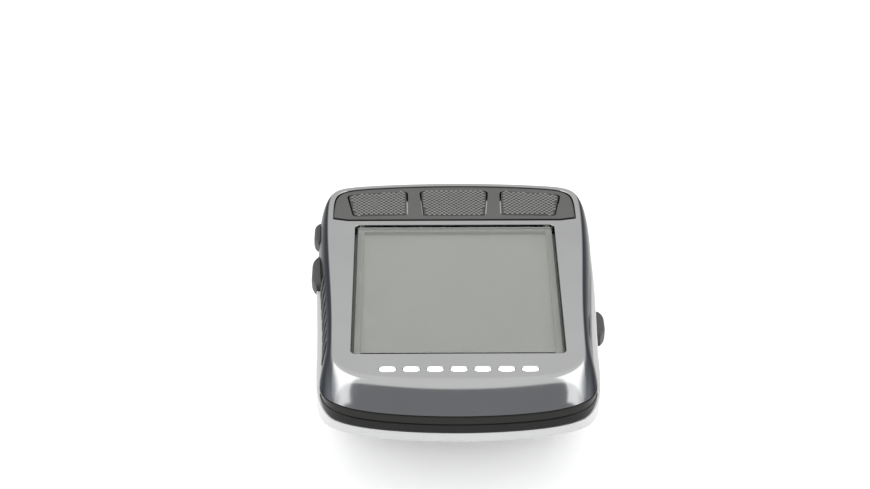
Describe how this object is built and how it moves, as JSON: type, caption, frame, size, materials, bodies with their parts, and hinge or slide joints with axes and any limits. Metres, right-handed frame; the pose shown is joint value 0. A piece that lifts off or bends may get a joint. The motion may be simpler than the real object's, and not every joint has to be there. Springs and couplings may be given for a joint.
{
  "type": "cycling computer",
  "caption": "Compact bicycle head unit: portrait display, top keys, row of status lights, side buttons, covered charging port and quarter-turn fitting underneath.",
  "frame": {"origin": "centre of the quarter-turn fitting's bottom face", "axes": "+Z out of the display, -Y towards the nose that points forward on the bicycle, +X to the rider's left"},
  "size_m": [0.0492, 0.075, 0.0222],
  "materials": {
    "case_grey": "satin dark silver, glossy on the sloping sides",
    "window_glass": "clear, gloss",
    "foam_black": "matt closed-cell foam",
    "display_grey": "grey-green reflective display, smooth",
    "light_guide": "frosted",
    "frame_steel": "pressed sheet, brushed",
    "screw_steel": "machined",
    "keypad_rubber": "matt with fine moulded bumps on the keys",
    "black_plastic": "fine moulded",
    "mount_black": "glass-filled, fine moulded",
    "light_clear": "clear to milky, lit",
    "board_green": "solder mask",
    "case_white": "moulded, half gloss",
    "connector_white": "moulded",
    "port_steel": "tin plated sheet",
    "battery_foil": "crimped foil pouch",
    "lead_black": "smooth sleeve",
    "flex_amber": "polyimide film",
    "antenna_ceramic": "fired, with a silvered top",
    "vent_white": "porous film"
  },
  "bodies": {
    "case": {"top_housing": "case_grey", "display_window": "window_glass", "window_adhesive": "foam_black", "display_gasket": "foam_black", "battery_pad": "foam_black", "display_panel": "display_grey", "backlight": "light_guide", "display_frame": "frame_steel", "frame_screw_1": "screw_steel", "frame_screw_2": "screw_steel", "frame_screw_3": "screw_steel", "frame_screw_4": "screw_steel", "mount_screw_1": "screw_steel", "mount_screw_2": "screw_steel", "mount_screw_3": "screw_steel", "mount_screw_4": "screw_steel", "case_screw_1": "screw_steel", "case_screw_2": "screw_steel", "case_screw_3": "screw_steel", "case_screw_4": "screw_steel", "board_screw_1": "screw_steel", "board_screw_2": "screw_steel", "keypad_strip": "keypad_rubber", "key_switch_left": "black_plastic", "key_switch_center": "black_plastic", "key_switch_right": "black_plastic", "side_switch_rear": "black_plastic", "side_switch_front": "black_plastic", "power_switch": "black_plastic", "buzzer": "black_plastic", "nose_band": "black_plastic", "quarter_turn_mount": "mount_black", "light_pipe": "light_clear", "led_1": "light_clear", "led_2": "light_clear", "led_3": "light_clear", "led_4": "light_clear", "led_5": "light_clear", "led_6": "light_clear", "led_7": "light_clear", "main_board": "board_green", "led_board": "board_green", "lower_housing": "case_white", "battery_connector": "connector_white", "flex_connector": "connector_white", "charging_port": "port_steel", "shield_can": "port_steel", "battery": "battery_foil", "battery_lead": "lead_black", "display_flex": "flex_amber", "satellite_antenna": "antenna_ceramic", "vent_membrane": "vent_white"},
    "key_center": {"key_center": "keypad_rubber"},
    "key_left": {"key_left": "keypad_rubber"},
    "key_right": {"key_right": "keypad_rubber"},
    "port_cover": {"port_cover": "keypad_rubber"},
    "power_button": {"power_button": "keypad_rubber"},
    "side_button_front": {"side_button_front": "keypad_rubber"},
    "side_button_rear": {"side_button_rear": "keypad_rubber"}
  },
  "joints": [
    {"name": "key_left_press", "type": "slide", "parent": "case", "child": "key_left", "axis": [0, 0, -1], "range_m": [0, 0.0006], "stiffness_N_per_m": 1500},
    {"name": "key_center_press", "type": "slide", "parent": "case", "child": "key_center", "axis": [0, 0, -1], "range_m": [0, 0.0006], "stiffness_N_per_m": 1500},
    {"name": "key_right_press", "type": "slide", "parent": "case", "child": "key_right", "axis": [0, 0, -1], "range_m": [0, 0.0006], "stiffness_N_per_m": 1500},
    {"name": "side_button_rear_press", "type": "slide", "parent": "case", "child": "side_button_rear", "axis": [1, 0, 0], "range_m": [0, 0.0005], "stiffness_N_per_m": 1500},
    {"name": "side_button_front_press", "type": "slide", "parent": "case", "child": "side_button_front", "axis": [1, 0, 0], "range_m": [0, 0.0005], "stiffness_N_per_m": 1500},
    {"name": "power_button_press", "type": "slide", "parent": "case", "child": "power_button", "axis": [-1, 0, 0], "range_m": [0, 0.0005], "stiffness_N_per_m": 1500},
    {"name": "port_cover_hinge", "type": "hinge", "parent": "case", "child": "port_cover", "pos_m": [0, 0.0374, 0.0133], "axis": [1, 0, 0], "range_deg": [0, 95]}
  ]
}
